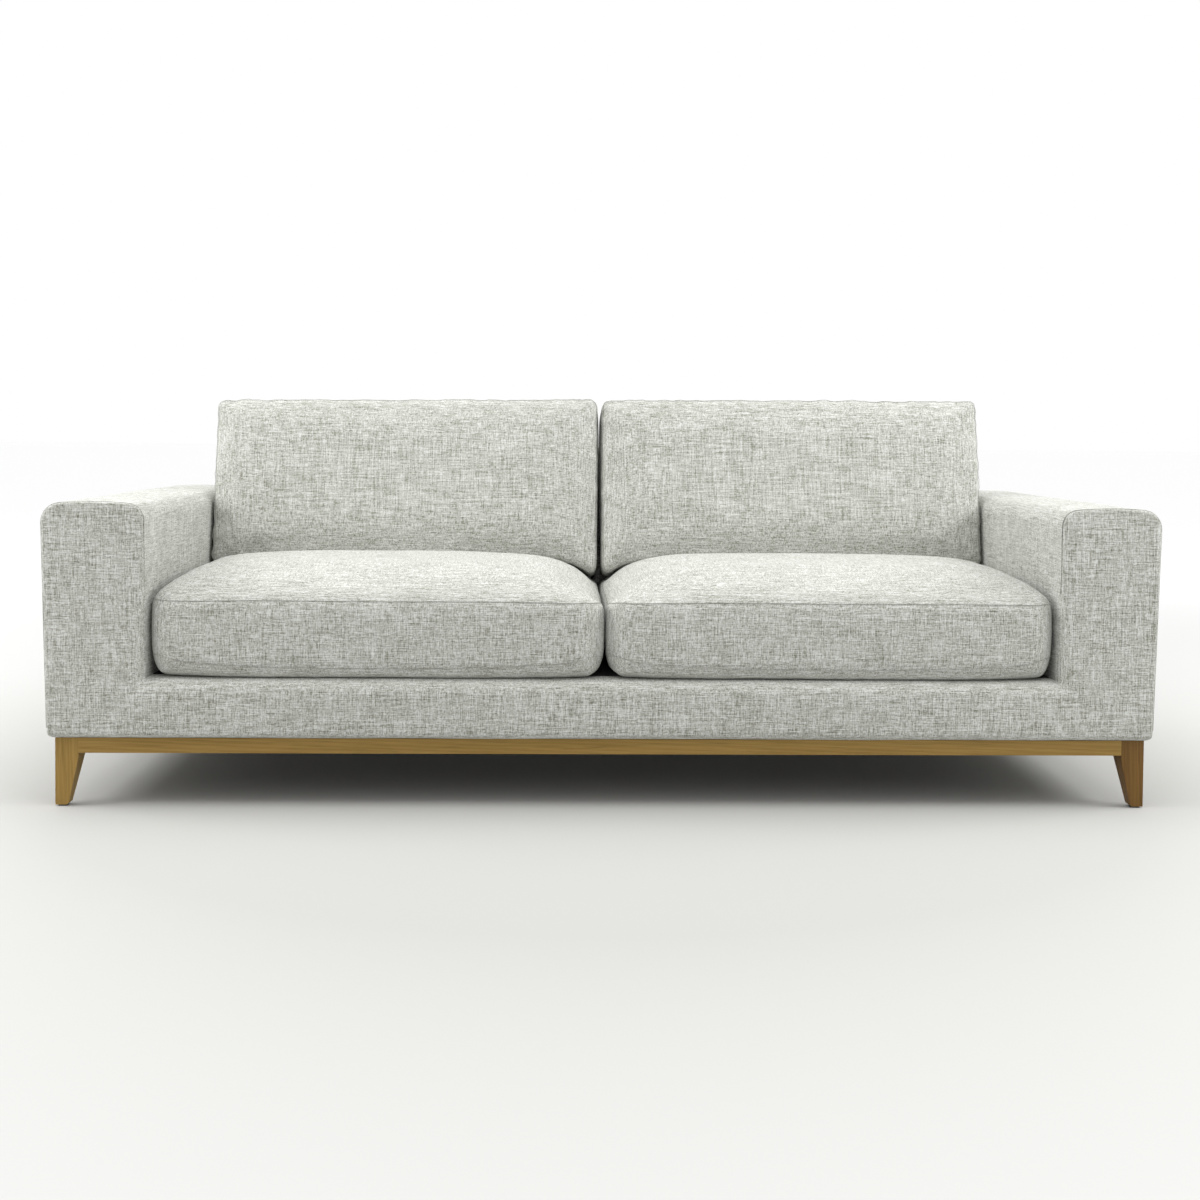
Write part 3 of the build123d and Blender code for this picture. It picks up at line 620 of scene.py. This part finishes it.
def make_arm(shape, side_name, side):
    """The sleeve behind the front cloth: inner wall, top, outer side and sewn rear panel."""
    xs = graded(shape.inner, shape.outer, ARM_COLUMNS)
    zs = graded(shape.low, shape.shoulder, 44)
    ring = [(x, shape.low) for x in xs] + [(shape.outer, z) for z in zs[1:]]
    ring += [(x, shape.shoulder) for x in reversed(xs[:-1])]
    ring += [(shape.inner, z) for z in reversed(zs[1:-1])]
    section = np.array([shape.place(x, z) for x, z in ring])
    # where the base front covers the sleeve's inner wall, the wall starts well behind it
    covered = [x == shape.inner and z < shape.base_top for x, z in ring]
    setback = 30 * MM
    starts = np.array(
        [shape.front + (setback if c else shape.depth(x, z)) for c, (x, z) in zip(covered, ring)]
    )
    lift = lambda a, b, y: (side * a, y, b)
    points, faces, seams = sleeve(section, shape.front, shape.rear, lift, starts=starts)
    if side > 0:
        faces = [f[::-1] for f in faces]
    piece = new_piece(f"arm_{side_name}", points, faces, upholstery, "frame",
                      (f"arm_cover_{side_name}", f"arm_foam_{side_name}"))
    slacken(piece, 1.0 * MM, 5.0, 3 + side)
    subdivide(piece)
    seam_line(f"arm_seam_rear_{side_name}", seams[1], "frame")
    # the front seam runs up the outer side, over the top and down to the seat
    seam_foot, seat_line = shape.low + 0.02, 0.42
    sewn = [
        (side * a, y + 0.5 * MM, b)
        for (a, b), y, (x, z) in zip(section, starts, ring)
        if z > seam_foot and (x > shape.inner + 1e-6 or z > seat_line)
    ]
    seam_line(f"arm_seam_front_{side_name}", sewn, "frame", radius=0.6 * MM, closed=False)


def make_back():
    """Inside back with its top, and the flat outside back."""
    low, high = (Vector(corner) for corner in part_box("inside_back_cover"))
    top_inner = low.y + (high.z - low.z) * math.tan(LEAN)
    rear = high.y - 3 * MM
    foot_radius, top_radius = 4 * MM, 24 * MM
    section = rounded_section(
        [
            (low.y, low.z, foot_radius),
            (rear, low.z, foot_radius),
            (rear, high.z, top_radius),
            (top_inner, high.z, top_radius),
        ]
    )
    lift = lambda a, b, x: (x, a, b)
    points, faces, seams = sleeve(section, low.x, high.x, lift, puff=1.5 * MM, step=0.02)
    piece = new_piece("inside_back", points, faces, upholstery_leaning, "frame",
                      ("inside_back_cover", "inside_back_foam"))
    slacken(piece, 1.2 * MM, 4.0, 21)
    subdivide(piece)
    for end, path in zip(("left", "right"), seams):
        seam_line(f"back_seam_{end}", path, "frame")
    low, high = (Vector(corner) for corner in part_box("outside_back_cover"))
    corners = ((low.x, low.z), (high.x, low.z), (high.x, high.z), (low.x, high.z))
    section = rounded_section([(*corner, 10 * MM) for corner in corners], step=20 * MM)
    lift = lambda a, b, y: (a, y, b)
    points, faces, seams = sleeve(section, low.y, high.y, lift, puff=1.6 * MM, step=0.001, seam=0.5 * MM)
    outside = new_piece("outside_back", points, faces, upholstery, "frame",
                        ("outside_back_cover",))
    slacken(outside, 0.5 * MM, 4.0, 25)
    seam_line("outside_back_seam", seams[1], "frame")


# ---- loose cushions ----------------------------------------------------------------------------
def lattice(nx, ny, nz):
    """Lattice points over a box's surface, as (i, j, k), and the quads that join them."""
    index = {}

    def at(*p):
        return index.setdefault(p, len(index))

    sizes = (nx, ny, nz)
    faces = []
    for axis in range(3):
        b, c = (axis + 1) % 3, (axis + 2) % 3
        for level in (0, sizes[axis]):
            for i in range(sizes[b]):
                for j in range(sizes[c]):
                    quad = []
                    for di, dj in ((0, 0), (1, 0), (1, 1), (0, 1)):
                        p = [0, 0, 0]
                        p[axis], p[b], p[c] = level, i + di, j + dj
                        quad.append(at(*p))
                    faces.append(quad if level else quad[::-1])
    return np.array(list(index), dtype=float), faces, index


def round_corners(x, y, a, b, radius):
    """Move the square corners of a rectangle of half sizes a and b onto arcs."""
    dx, dy = np.abs(x) - (a - radius), np.abs(y) - (b - radius)
    corner = (dx > 0) & (dy > 0)
    m = np.where(corner, np.maximum(dx, dy), 0)
    angle = np.arctan2(np.where(corner, dy, 0), np.where(corner, dx, 1))
    nx = np.where(corner, (a - radius) + m * np.cos(angle), np.abs(x))
    ny = np.where(corner, (b - radius) + m * np.sin(angle), np.abs(y))
    return np.sign(x) * nx, np.sign(y) * ny


def cushion_shape(
    half, thick, radius, low_rise, seam_high, crowns, counts, bulge=0.004, corner_lift=0.0, sags=(0, 0),
    slump=0.0, droop=0.0, tilt=0.0,
):
    """A boxed cushion in its own frame: x across, y along the panels, z through it.

    crowns: for the sides -x, +x, -y, +y, the share of the long fall from the crown to the seam,
    and the lengths of the long and the short fall, in metres. bulge: how far the boxing swells
    out. corner_lift: climb of the low seam at the corners. slump: dip of the free side -x. sags
    and droop: fall of the -y edge near its two ends and all along. tilt: rise of the +y edge
    towards +x."""
    nx, ny, nz = counts
    cells, faces, index = lattice(nx, ny, nz)
    u, v, w = cells[:, 0] / nx * 2 - 1, cells[:, 1] / ny * 2 - 1, cells[:, 2] / nz
    # panels get finer cells near the seams, where they curve most
    ease = lambda t: np.sign(t) * (1.15 * np.abs(t) - 0.15 * np.abs(t) ** 3)
    a, b = half
    x, y = round_corners(ease(u) * a, ease(v) * b, a, b, radius)
    wall = (np.abs(u) == 1) | (np.abs(v) == 1)
    edge_x, edge_y = a - np.abs(x), b - np.abs(y)
    # the low seam climbs at the corners, where the cushion is rounder
    low_rise = low_rise + corner_lift * np.exp(-np.hypot(edge_x, edge_y) / 0.06)
    z = low_rise + (seam_high - low_rise) * w
    from_edge = np.minimum(edge_x, edge_y)
    top, bottom = (w == 1) & ~wall, (w == 0) & ~wall
    rise = np.ones_like(z)
    for (axis, sign), (share, long_fall, short_fall) in crowns.items():
        span = (a, b)[axis] - sign * (x, y)[axis]
        rise *= 1 - share * np.exp(-span / long_fall) - (1 - share) * np.exp(-span / short_fall)
    rise = np.where(rise > 0, rise, 0)
    z = np.where(top, seam_high + (thick - seam_high) * rise / rise.max(), z)
    fall = 1 - np.clip(from_edge / (low_rise * 1.5), 0, 1)
    z = np.where(bottom, low_rise * (1 - np.sqrt(np.clip(1 - fall ** 2, 0, 1))), z)
    # the -x side, which nothing holds up, slumps behind its front corner
    z = z - slump * w * np.exp(-(a + x) / 0.045) * np.clip((y + b) / 0.14, 0, 1)
    swell = bulge * (1 - (2 * w - 1) ** 2) * wall - bulge
    corner_x, corner_y = x / a, y / b
    x = x + swell * np.sign(x) * np.abs(corner_x) ** 8
    y = y + swell * np.sign(y) * np.abs(corner_y) ** 8
    # the low edge droops towards its two ends, into the dips of the seat cushion under it
    drop = droop + sags[0] * np.exp(-(a + x) / 0.050) + sags[1] * np.exp(-(a - x) / 0.070)
    y = y - drop * np.clip(-y / b, 0, 1) ** 3
    y = y + tilt * np.clip(y / b, 0, 1) * (x / a + 1) / 2
    points = np.stack((x, y, z), 1)
    seams = []
    for level in (0, nz):
        ring = [(i, 0) for i in range(nx)] + [(nx, j) for j in range(ny)]
        ring += [(i, ny) for i in range(nx, 0, -1)] + [(0, j) for j in range(ny, 0, -1)]
        seams.append([index[(i, j, level)] for i, j in ring])
    return points, faces, seams


def inflate(points, faces, stiffness, pressure, frames):
    """Blow the cover up with Blender's cloth and return where its points end up."""
    cover_shrink = -0.012       # the cloth rests a little larger than it is drawn
    mesh = bpy.data.meshes.new("inflating")
    mesh.from_pydata([tuple(p) for p in points], [], faces)
    work = bpy.data.objects.new("inflating", mesh)
    scene = bpy.context.scene
    scene.collection.objects.link(work)
    modifier = work.modifiers.new("cloth", "CLOTH")
    cloth = modifier.settings
    cloth.effector_weights.gravity = 0.0
    cloth.use_pressure = True
    cloth.uniform_pressure_force = pressure
    cloth.tension_stiffness = cloth.compression_stiffness = stiffness
    cloth.bending_stiffness = 4.0
    cloth.quality = 5
    cloth.shrink_min = cover_shrink
    modifier.point_cache.frame_start, modifier.point_cache.frame_end = 1, frames
    for step in range(1, frames + 1):
        scene.frame_set(step)
    graph = bpy.context.evaluated_depsgraph_get()
    settled = bpy.data.meshes.new_from_object(work.evaluated_get(graph))
    result = points_of(settled)
    bpy.data.objects.remove(work)
    bpy.data.meshes.remove(mesh)
    bpy.data.meshes.remove(settled)
    scene.frame_set(1)
    return result


def vertex_normals(points, faces):
    quads = np.array(faces)
    across = np.cross(points[quads[:, 2]] - points[quads[:, 0]], points[quads[:, 3]] - points[quads[:, 1]])
    normals = np.zeros_like(points)
    for k in range(4):
        np.add.at(normals, quads[:, k], across)
    return normals / (np.linalg.norm(normals, axis=1)[:, None] + 1e-12)


def distance_to_seams(points, seams):
    """Distance of each point from the nearest seam, in blocks to spare memory."""
    line = np.concatenate([points[s] for s in seams])[::2]
    block = 2000
    nearest = [
        np.linalg.norm(points[start:start + block, None, :] - line[None], axis=2).min(1)
        for start in range(0, len(points), block)
    ]
    return np.concatenate(nearest)


def make_cushion(name, side, shape, place, limits, cap, gathers, seed, material, replaced):
    """Shape, inflate and gather a cushion, then move it to its place.

    cap: the farthest that the cloth simulation may move a point. gathers: height of the puckers
    at the seams."""
    points, faces, seams = cushion_shape(**shape)
    if side < 0:
        points[:, 0] *= -1
        faces = [f[::-1] for f in faces]
    sewn_low, sewn_high = points.min(0), points.max(0)
    moved = inflate(points, faces, stiffness=18.0, pressure=4.0, frames=16) - points
    # the filling keeps the cover out to its sewn size, so the inward pull is left out
    outward = vertex_normals(points, faces)
    pull = np.minimum((moved * outward).sum(1), 0)
    moved -= pull[:, None] * outward
    length = np.linalg.norm(moved, axis=1)[:, None]
    points = points + moved * cap / (cap + length)
    # draw the plan out to the sewn size again
    for axis in (0, 1):
        across = points[:, axis]
        ahead = across > 0
        across[ahead] *= sewn_high[axis] / across.max()
        across[~ahead] *= sewn_low[axis] / across.min()
    normals = vertex_normals(points, faces)
    # gathers: puckers that run across the seam, fine along it and long away from it
    half_x, half_y = shape["half"]
    at_side = (half_x - np.abs(points[:, 0])) < (half_y - np.abs(points[:, 1]))
    fine, long_way = 42.0, 8.0
    stretch = np.where(at_side[:, None], [[long_way, fine, long_way]], [[fine, long_way, long_way]])
    pucker = smooth_noise(points * stretch, 1.0, seed) + 0.5 * smooth_noise(points * stretch, 2.1, seed + 2)
    broad = smooth_noise(points, 6.0, seed + 4) + 0.4 * smooth_noise(points, 15.0, seed + 6)
    pucker_reach, wave, seam_sink, on_boxing = 0.030, 1.8 * MM, 1.1 * MM, 0.25
    height = gathers * np.exp(-distance_to_seams(points, seams) / pucker_reach) * pucker + wave * broad
    height *= on_boxing + (1 - on_boxing) * np.abs(normals[:, 2])
    points = points + normals * height[:, None]
    rings = np.concatenate(seams)
    points[rings] -= normals[rings] * seam_sink
    points = np.clip(points, *limits)
    world = np.array([place @ Vector(p) for p in points])
    piece = new_piece(name, world, faces, material, name, replaced)
    subdivide(piece)
    world_normals = vertex_normals(world, faces)
    for label, ring in zip(("low", "high"), seams):
        path = world[ring] + world_normals[ring] * 0.2 * MM
        seam_line(f"{name}_seam_{label}", path, name, radius=0.6 * MM)


def make_seat_cushion(side_name, side):
    low, high = (Vector(corner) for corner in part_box(f"seat_cushion_cover_{side_name}"))
    half = ((high.x - low.x) / 2, (high.y - low.y) / 2)
    centre = Vector(((high.x + low.x) / 2, (high.y + low.y) / 2, low.z))
    thick = high.z - low.z
    # on the right-hand cushion -x is the free side between the two cushions, +x is at the arm
    shape = dict(
        half=half, thick=thick - 3 * MM, radius=0.055, low_rise=0.023, seam_high=0.149,
        crowns={
            (0, -1): (1.14, 0.066, 0.012),
            (0, 1): (0.45, 0.080, 0.012),
            (1, -1): (0.70, 0.095, 0.016),
            (1, 1): (1.0, 0.090, 0.018),
        },
        counts=(96, 70, 13), bulge=0.0025, corner_lift=0.029, slump=0.018,
    )
    clear_of_back = 1.2 * MM
    limits = ((-half[0], -half[1], 0.0), (half[0], half[1] - clear_of_back, thick))
    make_cushion(
        f"seat_cushion_{side_name}", side, shape, Matrix.Translation(centre), limits,
        cap=9 * MM, gathers=3.0 * MM, seed=31 + side, material=upholstery,
        replaced=(f"seat_cushion_cover_{side_name}", f"seat_cushion_core_{side_name}"),
    )


def make_back_cushion(side_name, side):
    low, high = (Vector(corner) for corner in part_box(f"back_cushion_cover_{side_name}"))
    thick = 181 * MM
    bulge = 22 * MM                           # how far its front is crowned in the CAD
    top_radius = 34 * MM                      # radius of its upper edges in the CAD
    foot = Vector((0, 75 * MM, 456 * MM))     # foot of its front plane
    tall = (high.z - foot.z + (bulge + top_radius) * math.sin(LEAN)) / math.cos(LEAN)
    full = 0.7 * MM                           # how far each side is stuffed past the CAD's
    half = ((high.x - low.x) / 2 + full, tall / 2)
    shape = dict(
        half=half, thick=thick - 2 * MM, radius=0.022, low_rise=0.012, seam_high=thick - 0.027,
        crowns={
            (0, -1): (0.78, 0.070, 0.006),
            (0, 1): (0.78, 0.070, 0.006),
            (1, -1): (0.80, 0.050, 0.006),
            (1, 1): (0.50, 0.060, 0.012),
        },
        counts=(96, 44, 16), bulge=0.001, sags=(0.046, 0.020), droop=0.007,
        tilt={"left": -0.009, "right": 0.004}[side_name],
    )
    # the cushion's own z runs forwards from its flat back, its y runs up the lean
    own = Matrix(((1, 0, 0), (0, 0, -1), (0, 1, 0))).to_4x4()
    place = (
        Matrix.Translation(foot) @ Matrix.Rotation(-LEAN, 4, "X")
        @ Matrix.Translation(((high.x + low.x) / 2, thick, tall / 2)) @ own
    )
    limits = ((-half[0], -half[1] - 55 * MM, 0.0), (half[0], half[1] + 6 * MM, thick + 2 * MM))
    make_cushion(
        f"back_cushion_{side_name}", side, shape, place, limits,
        cap=6 * MM, gathers=6.0 * MM, seed=51 + side, material=upholstery_leaning,
        replaced=(f"back_cushion_cover_{side_name}", f"back_cushion_fill_{side_name}"),
    )


# ---- oak plinth --------------------------------------------------------------------------------
def soft_edged(node_name, material):
    """A copy of the CAD part with its sharp edges eased, in solid oak."""
    source = NODES[node_name]
    piece = bpy.data.objects.new(f"oak_{node_name}", source.data.copy())
    bpy.context.scene.collection.objects.link(piece)
    weld = piece.modifiers.new("weld", "WELD")
    weld.merge_threshold = 0.02 * MM
    bevel = piece.modifiers.new("bevel", "BEVEL")
    bevel.width, bevel.segments, bevel.limit_method = 1.2 * MM, 2, "ANGLE"
    bevel.angle_limit = math.radians(40)
    apply_modifiers(piece)
    piece.data.materials.clear()
    piece.data.materials.append(material)
    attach(piece, "frame")
    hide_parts(node_name)


def make_plinth():
    """Legs and rails; the two legs on the right get a darker, browner copy of the oak: painted shade on the side
    that gets less light.
    """
    # the right-hand legs take the darker oak: painted shade
    leg_oak = {"left": oak[2], "right": oak_painted_shade}
    for side_name in SIDES:
        for end in ("front", "rear"):
            soft_edged(f"leg_{end}_{side_name}", leg_oak[side_name])
        soft_edged(f"plinth_rail_{side_name}", oak[1])
    for end in ("front", "rear"):
        soft_edged(f"plinth_rail_{end}", oak[0])


# ---- build -------------------------------------------------------------------------------------
for entry in frame["record"]["subparts"]:
    mesh = NODES[entry["node"]].data
    material = NODE_MATERIALS[entry["material_slot"]]
    if not mesh.materials:
        mesh.materials.append(material)
    for index in range(len(mesh.materials)):
        mesh.materials[index] = material

front_shape = FrontShape()
make_front(front_shape)
for side_name, side in SIDES.items():
    make_arm(front_shape, side_name, side)
    make_seat_cushion(side_name, side)
    make_back_cushion(side_name, side)
make_back()
make_plinth()
